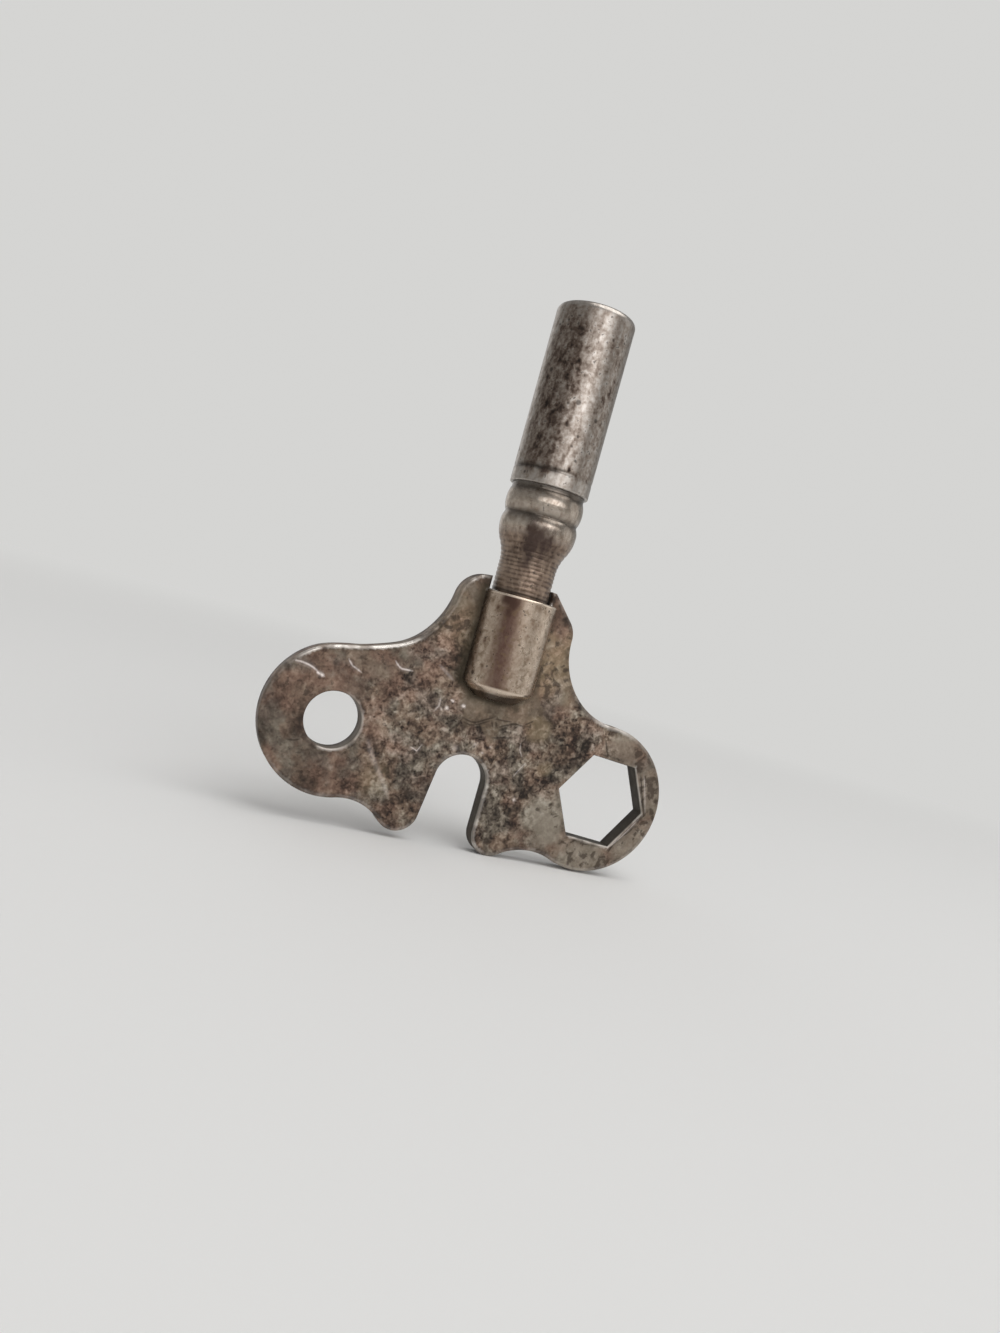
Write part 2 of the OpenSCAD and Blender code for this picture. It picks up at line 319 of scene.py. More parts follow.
def smooth_path(points, step, closed=False):
    """Points no further apart than step on a curve through the given ones, with sharp corners kept."""
    pts = [np.asarray(p, float) for p in points]
    count = len(pts)

    def tangent(i, straight):
        if not closed and i in (0, count - 1):
            return straight
        before = pts[i] - pts[i - 1]
        after = pts[(i + 1) % count] - pts[i]
        lb, la = np.linalg.norm(before), np.linalg.norm(after)
        before, after = before / lb, after / la
        turn = math.degrees(math.acos(np.clip(before @ after, -1, 1)))
        if turn > CORNER_DEG:
            return straight
        if la > STRAIGHT_RATIO * lb:
            return after
        if lb > STRAIGHT_RATIO * la:
            return before
        mixed = before * la + after * lb
        return mixed / np.linalg.norm(mixed)

    path = []
    last = count if closed else count - 1
    for i in range(last):
        a, b = pts[i], pts[(i + 1) % count]
        chord = np.linalg.norm(b - a)
        straight = (b - a) / chord
        ta, tb = tangent(i, straight), tangent((i + 1) % count, straight)
        pieces = max(1, math.ceil(chord / step))
        for k in range(pieces):
            t = k / pieces
            h00 = 2 * t**3 - 3 * t**2 + 1
            h10 = t**3 - 2 * t**2 + t
            h01 = -2 * t**3 + 3 * t**2
            h11 = t**3 - t**2
            path.append(h00 * a + h10 * chord * ta + h01 * b + h11 * chord * tb)
    if not closed:
        path.append(pts[-1])
    return np.array(path)


def waves(x, y, z):
    """Smooth noise from -1 to 1 at each place."""
    return np.array([noise.noise(Vector(at)) for at in zip(x, y, np.broadcast_to(z, len(x)))])


def eased(value):
    """Smooth step from 0 to 1."""
    t = np.clip(value, 0, 1)
    return t * t * (3 - 2 * t)


def bell(value):
    """1 at zero, and less on both sides of it."""
    return np.exp(-(value**2))


def placed(name, data):
    """A new object in the scene."""
    thing = bpy.data.objects.new(name, data)
    bpy.context.scene.collection.objects.link(thing)
    return thing


def new_piece(name, verts, faces, attributes):
    """A mesh object in metres from points in millimetres, with named values on its points."""
    mesh = bpy.data.meshes.new(name)
    mesh.from_pydata((np.asarray(verts) * MM).tolist(), [], faces)
    for key, values in attributes.items():
        layer = mesh.attributes.new(key, "FLOAT", "POINT")
        layer.data.foreach_set("value", np.asarray(values, np.float32))
    mesh.update()
    return placed(name, mesh)


# Shank

def turned_profile(node):
    """(z, r) down the outside of a turned CAD node, from its faces that look away from the axis."""
    least_outward, same_r = 0.02, 0.02
    mesh = node.data
    levels = {}
    for face in mesh.polygons:
        c, n = face.center, face.normal
        reach = math.hypot(c.x, c.y)
        if reach == 0 or (n.x * c.x + n.y * c.y) / reach < least_outward:
            continue
        for i in face.vertices:
            p = mesh.vertices[i].co
            levels.setdefault(round(p.z / MM, 3), set()).add(round(math.hypot(p.x, p.y) / MM, 3))
    profile = []
    for z in sorted(levels, reverse=True):
        ends = sorted({min(levels[z]), max(levels[z])})
        if profile and abs(ends[0] - profile[-1][1]) > abs(ends[-1] - profile[-1][1]):
            ends.reverse()
        if len(ends) == 2 and abs(ends[0] - ends[1]) < same_r:
            ends = ends[:1]
        profile += [(z, r) for r in ends]
    return profile


def with_finer_neck(rows):
    """The rows with more of them on the neck, for its turning lines."""
    fine = []
    for here, after in zip(rows[:-1], rows[1:]):
        pieces = NECK_PIECES if LATHE_END < here[0] < LATHE_TOP else 1
        fine += [here + (after - here) * k / pieces for k in range(pieces)]
    return np.array(fine + [rows[-1]])


def lathe_cut(z):
    """Depth of the turning lines on the neck and the swell above it."""
    fade_in, fade_out = 1.2, 0.2
    fade = np.clip(np.minimum((LATHE_TOP - z) / fade_in, (z - LATHE_END) / fade_out), 0, 1)
    wander = 1.3 * np.sin(z * 1.7)
    ridge = 0.5 + 0.5 * np.sin(2 * math.pi * z / LATHE_PITCH + wander)
    return fade * LATHE_DEPTH * ridge**2


def near_scribed_line(z, spread):
    return bell((z - SCRIBED_LINE_Z) / spread)


def degrees_from(turn, direction):
    """Angle from a direction about the axis, from -180 to 180."""
    return (np.degrees(turn) - direction + 180) % 360 - 180


def hump(turn, side, spread):
    """1 on a side of the shank, in degrees right of the camera, and less with the angle from it."""
    return bell(degrees_from(turn, CAMERA_TURN + side) / spread)


def plateau(turn, side, half, steepness):
    """As hump, with a flat top and steep flanks at half its width."""
    return 1 / (1 + (degrees_from(turn, CAMERA_TURN + side) / half) ** steepness)


def bend(rows, spread):
    """Curvature of the profile at each row in 1/mm, smoothed: above zero on edges, below in grooves."""
    ahead = np.diff(rows, axis=0)
    length = np.linalg.norm(ahead, axis=1)
    heading = np.unwrap(np.arctan2(ahead[:, 1], -ahead[:, 0]))
    at = np.concatenate([[0], np.cumsum(length)])
    turn = -np.diff(heading)
    found = [np.sum(turn * bell((at[1:-1] - here) / spread)) for here in at]
    return np.array(found) / (spread * math.sqrt(math.pi))


def pitted(turn, z, r, rng):
    """How much of each point is pit, and how deep the pits of the barrel and collar are there."""
    pit, dip = np.zeros(len(z)), np.zeros(len(z))
    for _ in range(PIT_COUNT):
        middle = rng.choice([rng.uniform(*BARREL_PITS)] * 5 + [rng.uniform(*COLLAR_PITS)])
        size = rng.uniform(*PIT_R) * rng.choice([1, 1, 1, LARGE_PIT])
        direction = rng.uniform(-180, 180)
        depth = rng.uniform(*PIT_DEPTH)
        near = np.abs(z - middle) < size
        across = np.radians(degrees_from(turn[near], direction)) * r[near]
        bowl = np.clip(1 - (np.hypot(across, z[near] - middle) / size) ** 2, 0, 1) ** 2
        pit[near] = np.maximum(pit[near], bowl)
        dip[near] += depth * bowl
    return pit, dip


def barrel_tarnish_and_reflection(turn, z):
    """How dark the barrel is: tarnish and a painted dark reflection, most on one side, least at its mouth and
    below the scribed line.
    """
    side = plateau(turn, TARNISH_SIDE, 34, 4)
    for angle, spread, strength in FAINT_TARNISH:
        side += strength * hump(turn, angle, spread)
    above_line = eased((z - SCRIBED_LINE_Z) / 1.1 + 0.6)
    below_mouth = 0.55 + 0.45 * eased((-1.0 - z) / 2.0)
    return side * above_line * below_mouth


def collar_dark_reflection(turn, z):
    """Painted dark reflection down the collar, wider and fainter towards its foot."""
    along = np.clip((z - COLLAR_END) / (SHOULDER_Z - COLLAR_END), 0, 1)
    streak = hump(turn, DARK_REFLECTION_LOW + (DARK_REFLECTION_HIGH - DARK_REFLECTION_LOW) * along, 17 - 3 * along)
    return np.where(z < SHOULDER_Z, (1.1 + 0.3 * along) * streak, 0)


def blotted(places, turn, z, r, ragged, rows):
    """How strongly a set of blots covers each point."""
    cover = np.zeros(len(z))
    for px, py, radius, strength in places:
        direction, middle = on_shank(px, py, rows)
        across = np.radians(degrees_from(turn, direction)) * r
        gap = np.hypot(across, (z - middle) / BLOT_STRETCH) / radius * (1 + BLOT_RAGGED * ragged)
        cover = np.maximum(cover, strength * bell(gap))
    return cover


def from_saw_cut(y, r):
    """Distance from the saw cut's faces."""
    return np.abs(y) * r - SAW_W / 2


def worn_and_highlit_edges(x, y, r, z, edge):
    """How brightly edges are worn, with painted highlights: most at the mouth and on the collar's rims, where
    a painted highlight band runs round the foot, less at its right end.
    """
    sheltered = (z < BARREL_END + 1) & (z > SHOULDER_Z + 1)
    wear_and_highlight = np.clip((edge - 0.6) / 2.0, 0, 1) * np.where(sheltered, 0.1, 1)
    right_end = (x > 0) * bell(from_saw_cut(y, r))
    rim = 0.95 * eased((TAPER_TOP + 0.3 - z) / 0.2) * (1 - 0.3 * right_end)
    return np.where(z < TAPER_TOP + 0.5, rim, wear_and_highlight)


def seam_shade(turn, z, ragged):
    """Painted brown shade along the groove under the bead, and in the groove over it."""
    front = 0.4 + 0.45 * hump(turn, SEAM_SHADE_SIDE, 36)
    under = front * bell((z - SEAM_Z + 0.08 + 0.12 * ragged) / 0.45)
    over = 0.8 * eased((BARREL_END - z) / 0.05) * eased((z - BARREL_END + 1.05 + 0.1 * ragged) / 0.5)
    return np.maximum(under, over)


def saw_cut_shade(x, y, r, z):
    """Painted shade on the collar along its edges at the saw cut, most of it on the left ones."""
    cover = bell(from_saw_cut(y, r) / 0.45)
    return np.where(x < 0, 0.55, 0.1) * cover * (z < SHOULDER_Z)


def with_foot(rows):
    """The rows with the collar's flat end below its taper."""
    cap = [(COLLAR_END, r) for r in np.linspace(TAPER_END_R, FOOT_CAP_R, FOOT_CAP_ROWS)[1:]]
    return np.concatenate([rows, cap])


def rounded_foot(rows):
    """The rows with the collar's lower edges worn round."""
    at = np.concatenate([[0], np.cumsum(np.linalg.norm(np.diff(rows, axis=0), axis=1))])
    step = np.gradient(at)
    soft = rows.copy()
    for i in range(len(rows) - 1):
        if rows[i, 0] < TAPER_TOP + 0.8:
            share = step * bell((at - at[i]) / FOOT_ROUND)
            soft[i] = share @ rows / share.sum()
    return soft


def crisp_side(turn):
    """1 where the collar's foot has kept its sharp edge, at the right end of its front half."""
    return eased(degrees_from(turn, CAMERA_TURN + CRISP_SIDE) / 45) * (np.sin(turn) < 0)


def by_point(column):
    """A value of each row, repeated for the row's points."""
    return np.repeat(column, SEGMENTS)


def band(above, below, size):
    """Faces between two rings of one size, given by their first points."""
    return [(above + k, below + k, below + (k + 1) % size, above + (k + 1) % size) for k in range(size)]


def stacked_faces(count, size):
    """Faces of a closed solid through a count of rings of one size, from the top one down."""
    faces = []
    for row in range(count - 1):
        faces += band(row * size, (row + 1) * size, size)
    last = (count - 1) * size
    return faces + [tuple(range(size)), tuple(last + k for k in reversed(range(size)))]


def shank_values(turn, z, r, rows, kept):
    """What the shank's material reads at each point, apart from the pits."""
    x, y = np.cos(turn), np.sin(turn)
    edge, hollow = by_point(bend(rows, 0.1)), by_point(-bend(rows, 0.38))
    ragged = waves(x * 9, y * 9, z * 1.6)
    # streak holds the painted dark reflection down the collar
    streak = collar_dark_reflection(turn, z)
    # Painted shade: darker in the profile's hollows and on the underside of the collar's foot
    in_hollows = 0.8 * np.clip(hollow - 0.02, 0, 1)
    underside_shade = 0.92 * eased((TAPER_TOP - 0.3 + 0.25 * kept - z) / 0.25)
    line_side = 0.08 + 0.92 * plateau(turn, TARNISH_SIDE, 40, 6)
    return {
        "dirt_and_painted_shade": np.max([in_hollows, underside_shade, seam_shade(turn, z, ragged), saw_cut_shade(x, y, r, z)], axis=0),
        "matte": eased((MATTE_TOP - z) / 1.2) * hump(turn, MATTE_SIDE, 34) * (z > SHOULDER_Z),
        "worn": worn_and_highlit_edges(x, y, r, z, edge),
        "groove": lathe_cut(z) / LATHE_DEPTH,
        # Tarnish, with the painted dark reflections on the barrel's side and down the collar
        "tarnish_and_painted_reflection": barrel_tarnish_and_reflection(turn, z) + streak + blotted(BLOTS, turn, z, r, ragged, rows),
        "burn_and_dark_reflection": blotted(BURNS_AND_DARK_REFLECTIONS, turn, z, r, ragged, rows),
        "neck": np.minimum(eased((NECK_Z[1] - z) / 1.5), eased((z - NECK_Z[0]) / 0.1)),
        "line": near_scribed_line(z + 0.15 * ragged, 0.27 + 0.12 * ragged) * line_side,
        "collar": (z < SAW_TOP).astype(float),
        "streak": streak,
        "polished": eased(np.minimum(z - POLISHED_Z[0], POLISHED_Z[1] - z) / 0.5),
    }


def revolve(crisp, rng):
    """Points, faces and values of the turned body, closed by a flat face at each end."""
    rows = rounded_foot(crisp)
    turn = np.tile(np.arange(SEGMENTS) * 2 * math.pi / SEGMENTS, len(rows))
    kept = crisp_side(turn)
    z, r = (by_point(worn) + kept * by_point(sharp - worn) for worn, sharp in zip(rows.T, crisp.T))
    x, y = np.cos(turn), np.sin(turn)
    uneven = waves(x * 1.6, y * 1.6, z * 0.35)
    pit, dip = pitted(turn, z, r, rng)
    dip += lathe_cut(z) + SCRIBED_DEPTH * near_scribed_line(z, SCRIBED_HALF_W) + UNEVEN_DEPTH * (1 + uneven)
    reach = np.maximum(r - dip, 0)
    verts = np.stack([reach * x, reach * y, z], axis=1)
    values = {"pit": pit, **shank_values(turn, z, r, rows, kept)}
    return verts, stacked_faces(len(rows), SEGMENTS), values


def prism(name, loops):
    """A closed solid through loops of equal length, from the top one down. It cuts the shank."""
    verts = [p for loop in loops for p in loop]
    return new_piece(name, verts, stacked_faces(len(loops), len(loops[0])), {})


def circle(radius, z, sides=96):
    steps = [2 * math.pi * k / sides for k in range(sides)]
    return [(radius * math.cos(a), radius * math.sin(a), z) for a in steps]


def oblong(half_x, half_y, z):
    return [(half_x, half_y, z), (-half_x, half_y, z), (-half_x, -half_y, z), (half_x, -half_y, z)]


def socket_and_saw_cutters():
    """The solids that cut the winding square, its pilot hole, its lead-in and the saw cut."""
    over, tip_r = 0.5, 0.02
    half, rim = SQUARE_AF / 2, LEAD_IN_D / 2
    lead_in_end = half - 0.2
    slope = rim / (rim - lead_in_end) * LEAD_IN_DEPTH
    drill_point = PILOT_D / 2 / math.tan(math.radians(DRILL_ANGLE / 2))
    saw_reach, saw_end = 6.0, -41.0
    return [
        prism("cut_lead_in", [
            circle(rim * (1 + over / slope), over),
            circle(rim, 0),
            circle(lead_in_end, -LEAD_IN_DEPTH),
        ]),
        prism("cut_square", [oblong(half, half, z) for z in (over, -SQUARE_DEPTH)]),
        prism("cut_pilot", [
            circle(PILOT_D / 2, -SQUARE_DEPTH + over),
            circle(PILOT_D / 2, -PILOT_DEPTH),
            circle(tip_r, -PILOT_DEPTH - drill_point),
        ]),
        prism("cut_saw", [oblong(saw_reach, SAW_W / 2, z) for z in (SAW_TOP, saw_end)]),
    ]


def cut_away(piece, cutters):
    """Subtracts the cutters from the piece's mesh for good, and removes them."""
    for cutter in cutters:
        step = piece.modifiers.new(cutter.name, "BOOLEAN")
        step.operation = "DIFFERENCE"
        step.solver = "EXACT"
        step.object = cutter
    graph = bpy.context.evaluated_depsgraph_get()
    cut_mesh = bpy.data.meshes.new_from_object(piece.evaluated_get(graph))
    piece.modifiers.clear()
    whole = piece.data
    piece.data = cut_mesh
    cut_mesh.name = piece.name
    bpy.data.meshes.remove(whole)
    for cutter in cutters:
        bpy.data.meshes.remove(cutter.data)


def make_shank():
    rows = with_foot(with_finer_neck(smooth_path(turned_profile(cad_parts["shank"]), ROW_STEP)))
    piece = new_piece("winding_shank", *revolve(rows, random.Random(SEED)))
    cut_away(piece, socket_and_saw_cutters())
    return piece


# Bow

def face_loops(node, looks):
    """Outlines of a flat CAD face that looks along y by the sign given, as (x, z), metal on the left."""
    facing, least_gap = 0.99, 0.03
    mesh = node.data
    place = [tuple(round(c / MM, 4) for c in v.co) for v in mesh.vertices]
    edges = set()
    for face in mesh.polygons:
        if face.normal.y * looks < facing:
            continue
        ring = [place[i] for i in face.vertices]
        for a, b in zip(ring, ring[1:] + ring[:1]):
            if (b, a) in edges:
                edges.remove((b, a))
            else:
                edges.add((a, b))
    following = dict(edges)
    loops = []
    while following:
        loop = [min(following)]
        while True:
            end = following.pop(loop[-1])
            if end == loop[0]:
                break
            loop.append(end)
        flat = [np.array([p[0], p[2]]) for p in loop]
        clean = [p for p, q in zip(flat, flat[-1:] + flat[:-1]) if np.linalg.norm(p - q) > least_gap]
        loops.append(clean)
    return sorted(loops, key=len, reverse=True)


def headings(loop):
    """The direction from each point of a loop to the next."""
    ahead = np.roll(loop, -1, axis=0) - loop
    return ahead / np.linalg.norm(ahead, axis=1)[:, None]


def clear_corners(loop, roll):
    """The loop without the points that stand too near a sharp corner to be moved in beside it."""
    ahead = headings(loop)
    turn = np.sum(ahead * np.roll(ahead, 1, axis=0), axis=1)
    corners = loop[turn < math.cos(math.radians(CORNER_DEG))]
    if not len(corners):
        return loop
    gap = nearest(loop, corners)
    touching = 1e-6
    return loop[(gap < touching) | (gap > CORNER_CLEAR * roll)]


def inset(loop, depth):
    """The loop moved into the metal by a depth, mitred at its corners."""
    ahead = headings(loop)
    out_after = np.stack([ahead[:, 1], -ahead[:, 0]], axis=1)
    out_before = np.roll(out_after, 1, axis=0)
    mitre = out_before + out_after
    mitre /= 1 + np.sum(out_before * out_after, axis=1)[:, None]
    return loop - depth * mitre


def inside(points, loops):
    """Which points lie in the metal, by counting the outline's crossings."""
    hit = np.zeros(len(points), bool)
    for loop in loops:
        a, b = loop, np.roll(loop, -1, axis=0)
        for (ax, az), (bx, bz) in zip(a, b):
            spans = (az > points[:, 1]) != (bz > points[:, 1])
            cross = ax + (points[:, 1] - az) * (bx - ax) / (bz - az if bz != az else 1e-12)
            hit ^= spans & (points[:, 0] < cross)
    return hit


def along_run(points, run):
    """Distance from each point to the nearest of a run's points, and that one's place from 0 to 1."""
    tree = KDTree(len(run))
    for i, t in enumerate(run):
        tree.insert((t[0], t[1], 0), i)
    tree.balance()
    found = [tree.find((p[0], p[1], 0)) for p in points]
    return np.array([f[2] for f in found]), np.array([f[1] for f in found]) / max(len(run) - 1, 1)


def nearest(points, targets):
    """Distance from each point to the nearest of the targets."""
    return along_run(points, targets)[0]


def line_mark(points, run, width):
    """How much of each point a line covers. It is thinner towards its ends."""
    mark = np.zeros(len(points))
    reach = 5 * width
    near = np.all((points > run.min(0) - reach) & (points < run.max(0) + reach), axis=1)
    if near.any():
        gap, share = along_run(points[near], run)
        taper = np.clip(4 * np.minimum(share, 1 - share) + 0.4, 0, 1)
        mark[near] = taper * bell(gap / (width * taper))
    return mark


def plate_path(pixels):
    """A close run of points on the front face through pixels of the photograph."""
    return smooth_path([on_plate(*pixel) for pixel in pixels], LINE_STEP)


def scratch_lines():
    """The scratches on the front face, each as a run of points, its half width, depth and brightness."""
    return [(plate_path(pixels), *kind) for pixels, *kind in SCRATCHES]


def dark_runs():
    """The thin dark lines on the front face, each as a run of points."""
    return [plate_path(pixels) for pixels in DARK_LINES]


def patches(points, places, seed):
    """How strongly a set of patches covers each point of the plate, with ragged borders."""
    cover = np.zeros(len(points))
    ragged = PATCH_RAGGED * waves(*(points.T * PATCH_PACE), seed)
    for px, py, radius, strength in places:
        gap = np.linalg.norm(points - on_plate(px, py), axis=1) / radius + ragged
        cover = np.maximum(cover, strength * eased(1.6 - 1.2 * gap))
    return cover


def collar_painted_shadow(points):
    """Painted shadow on the plate beside and below the collar, most of it on the collar's left."""
    left, right, down, up = 0.95, 0.4, 0.5, 0.6
    x, z = points.T
    half = np.interp(-z, [-TAPER_TOP, -COLLAR_END], [COLLAR_R, TAPER_END_R])
    beside = np.maximum(np.abs(x) - half, 0) / np.where(x < 0, left, right)
    below = np.maximum(COLLAR_END - z, 0) / down
    above = np.maximum(z - SAW_TOP, 0) / up
    return (1 - 0.65 * eased(x / COLLAR_R)) * np.exp(-(beside**2 + below**2 + above**2))


def well_inside(points, loops, clear):
    """The points that lie in the metal and clear of its outline."""
    points = points[inside(points, loops)]
    return points[nearest(points, np.concatenate(loops)) > clear]


def grid_points(loops, fine):
    """Jittered points over the metal, and the fine ones, all clear of the outline."""
    rng = random.Random(SEED + 2)
    low, high = loops[0].min(0), loops[0].max(0)
    coarse = []
    for row, z in enumerate(np.arange(low[1], high[1], GRID_ROW)):
        for x in np.arange(low[0] + (row % 2) * GRID_STEP / 2, high[0], GRID_STEP):
            coarse.append([at + rng.uniform(-GRID_JITTER, GRID_JITTER) for at in (x, z)])
    coarse = well_inside(np.array(coarse), loops, GRID_CLEAR)
    if not len(fine):
        return coarse
    fine = well_inside(fine, loops, FINE_CLEAR)
    return np.concatenate([coarse[nearest(coarse, fine) > FINE_GAP], fine])


def filled(loops, extra):
    """Triangles over the metal inside the loops, through the extra points. The loops' points come first."""
    points = np.concatenate(loops + [extra])
    edges, start = [], 0
    for loop in loops:
        edges += [(start + k, start + (k + 1) % len(loop)) for k in range(len(loop))]
        start += len(loop)
    found = delaunay_2d_cdt([Vector(p) for p in points], edges, [], 0, 1e-7)
    tris = np.array([t for t in found[2] if len(t) == 3])
    back = [origin[0] for origin in found[3]]
    centres = np.mean([[found[0][i] for i in t] for t in tris], axis=1)
    keep = inside(centres, loops)
    return points, [tuple(back[i] for i in t) for t in tris[keep]]


def dents(rng, loops):
    """(x, z, radius, depth) of the shallow dents in one face."""
    low, high = loops[0].min(0), loops[0].max(0)
    ranges = [(low[0], high[0]), (low[1], high[1]), DENT_R, DENT_DEPTH]
    return [[rng.uniform(*limits) for limits in ranges] for _ in range(DENT_COUNT)]


def face_sink(points, hollow, runs, phase):
    """How far each point of a face lies under the flat plate, and how much of it is scratch."""
    sink = np.zeros(len(points))
    for depth, pace in FACE_WAVES:
        sink += depth * (1 + waves(*(points.T * pace), phase))
    for x, z, size, depth in hollow:
        gap = np.hypot(points[:, 0] - x, points[:, 1] - z) / size
        sink += np.where(gap < 1, depth * (1 - np.minimum(gap, 1) ** 2) ** 2, 0)
    scratch = np.zeros(len(points))
    for run, width, depth, shine in runs:
        mark = line_mark(points, run, width)
        scratch = np.maximum(scratch, shine * mark)
        sink += depth * mark
    return sink, scratch


def in_notch(points):
    """1 for points on the wall of the notch between the feet."""
    return ((np.abs(points[:, 0] - NOTCH_X) < NOTCH_REACH) & (points[:, 1] < NOTCH_TOP)).astype(float)


def lifted(loop):
    """The outline with its small corrections."""
    high = loop.copy()
    for px, py, reach, lift in OUTLINE_LIFTS:
        gap = np.linalg.norm(loop - on_plate(px, py), axis=1) / reach
        high[:, 1] += lift * bell(gap)
    return high


def rim_levels(roll):
    """(depth into the outline, y) of the rings over the rolled edges and the wall, from front to back."""
    turns = [k / ROLL_STEPS * math.pi / 2 for k in range(ROLL_STEPS + 1)]
    flat = PLATE_HALF - roll
    levels = [(roll * (1 - math.cos(a)), -flat - roll * math.sin(a)) for a in reversed(turns)]
    levels += [(0.0, -flat + 2 * flat * k / WALL_ROWS) for k in range(1, WALL_ROWS)]
    levels += [(roll * (1 - math.cos(a)), flat + roll * math.sin(a)) for a in turns]
    return levels


def beside_lines(runs):
    """Points on each line and on both of its banks, for a mesh fine enough to hold it."""
    close = []
    for run, width in runs:
        along = np.gradient(run, axis=0)
        across = np.stack([-along[:, 1], along[:, 0]], axis=1)
        across /= np.linalg.norm(across, axis=1)[:, None]
        close += [run, run + 1.5 * width * across, run - 1.5 * width * across]
    return np.concatenate(close)


def edge_highlight(loop, is_hole):
    """Painted highlight on the rolled edges, in worn steel's colour: most where they look up, and on the
    right of an opening.
    """
    looks = loop - inset(loop, 1.0)
    up = looks @ EYE_UP[[0, 2]]
    top = 0.15 * eased((up - 0.1) / 0.5) + 0.85 * eased((up - 0.75) / 0.25)
    left = eased(-looks[:, 0] / 0.6)
    if is_hole:
        return np.maximum(0.6 * top, 0.45 * left)
    under = 0.25 * eased((-up - 0.3) / 0.4)
    return np.max([top, under, 0.8 * in_notch(loop) * left], axis=0)


def rim_rings(outline, rolls):
    """Points, faces and values of the rolled edges and walls, with the first point of each ring."""
    verts, faces, first = [], [], {}
    values = {"edge": [], "wall": [], "back": [], "hole_shade": []}
    for loop_id, (loop, roll) in enumerate(zip(outline, rolls)):
        count = len(loop)
        wear_and_highlight = edge_highlight(loop, loop_id > 0)
        levels = rim_levels(roll)
        for level, (depth, y) in enumerate(levels):
            ring = inset(loop, depth)
            first[loop_id, level] = len(verts)
            verts += [(x, y, z) for x, z in ring]
            # Painted highlight along the rolled edges
            values["edge"] += list(wear_and_highlight * (0 < depth < roll))
            values["wall"] += [float(depth < 0.3 * roll)] * count
            # back: painted shade on the back half of the rolled edges and walls
            values["back"] += [eased((y + 0.1) / 0.9)] * count
            dark = [HOLE_SHADE[loop_id]] * count if loop_id else NOTCH_SHADE * in_notch(ring)
            values["hole_shade"] += list(dark)
        for level in range(len(levels) - 1):
            faces += band(first[loop_id, level], first[loop_id, level + 1], count)
    return verts, faces, first, values


def bow_outlines():
    """The plate's outline, its round hole and its hexagon, with the radius of each one's rolled edges."""
    raw = [smooth_path(loop, OUTLINE_STEP, closed=True) for loop in face_loops(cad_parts["bow"], FRONT)]
    raw[0] = lifted(raw[0])
    rolls = [EDGE_ROLL] + [HOLE_ROLL] * (len(raw) - 1)
    return [clear_corners(loop, roll) for loop, roll in zip(raw, rolls)], rolls


def bow_values(points, outline):
    """What the bow's material reads at each point of both faces and the rim."""
    gap = nearest(points, np.concatenate(outline))
    values = {
        "border": bell((gap - BORDER_IN) / BORDER_HALF_W),
        "lines": np.max([line_mark(points, run, DARK_LINE_W) for run in dark_runs()], axis=0),
        "collar_shadow": collar_painted_shadow(points),
    }
    for seed, (name, places) in enumerate(PATCHES.items(), PATCH_SEED):
        values[name] = patches(points, places, seed)
    return values


def make_bow():
    outline, rolls = bow_outlines()
    verts, faces, first, rim_values = rim_rings(outline, rolls)
    rim = len(verts)
    loops = [inset(loop, roll) for loop, roll in zip(outline, rolls)]
    rng = random.Random(SEED + 3)
    scratch = [0.0] * rim
    last_level = len(rim_levels(EDGE_ROLL)) - 1
    for level, looks, marks in ((0, FRONT, scratch_lines()), (last_level, BACK, [])):
        lines = [mark[:2] for mark in marks] + [(run, DARK_LINE_W) for run in dark_runs()]
        points, tris = filled(loops, grid_points(loops, beside_lines(lines) if marks else []))
        sink, shine = face_sink(points, dents(rng, loops), marks, FACE_PHASE + looks)
        sink *= np.clip(nearest(points, np.concatenate(loops)) / FLAT_BORDER, 0, 1)
        index = [first[i, level] + k for i, loop in enumerate(loops) for k in range(len(loop))]
        for k in range(len(index), len(points)):
            index.append(len(verts))
            verts.append((points[k][0], looks * (PLATE_HALF - sink[k]), points[k][1]))
            scratch.append(shine[k])
        faces += [tuple(index[i] for i in (t if looks == FRONT else reversed(t))) for t in tris]
    values = bow_values(np.array([(x, z) for x, _, z in verts]), outline)
    values["scratch"] = scratch
    for name, found in rim_values.items():
        values[name] = np.concatenate([found, np.zeros(len(verts) - rim)])
    return new_piece("winged_bow", verts, faces, values)


# Materials

class Graph:
    """Shorthand for building a tree of shader nodes."""

    def __init__(self, tree):
        self.tree = tree

    def put(self, socket, value):
        """Links a socket to another node's output, or sets it to a number or colour."""
        if isinstance(value, bpy.types.NodeSocket):
            self.tree.links.new(value, socket)
        else:
            socket.default_value = (*value, 1.0) if socket.type == "RGBA" else value

    def add(self, kind, inputs=None, **settings):
        """A new node with its settings, and with values or links at its inputs."""
        node = self.tree.nodes.new(kind)
        for key, value in settings.items():
            setattr(node, key, value)
        for key, value in (inputs or {}).items():
            self.put(node.inputs[key], value)
        return node

    def end_with(self, output, share, a, b):
        """Ends the tree with a mix of two shaders."""
        blend = self.add("ShaderNodeMixShader", {0: share, 1: a, 2: b}).outputs[0]
        self.put(self.tree.nodes[output].inputs["Surface"], blend)

    def colours(self, value, stops):
        """The colour that a value picks from (place, colour) stops."""
        node = self.add("ShaderNodeValToRGB", {"Fac": value})
        band = node.color_ramp
        while len(band.elements) < len(stops):
            band.elements.new(1.0)
        for element, (at, colour) in zip(band.elements, stops):
            element.position = at
            element.color = (*colour, 1.0)
        return node.outputs["Color"]


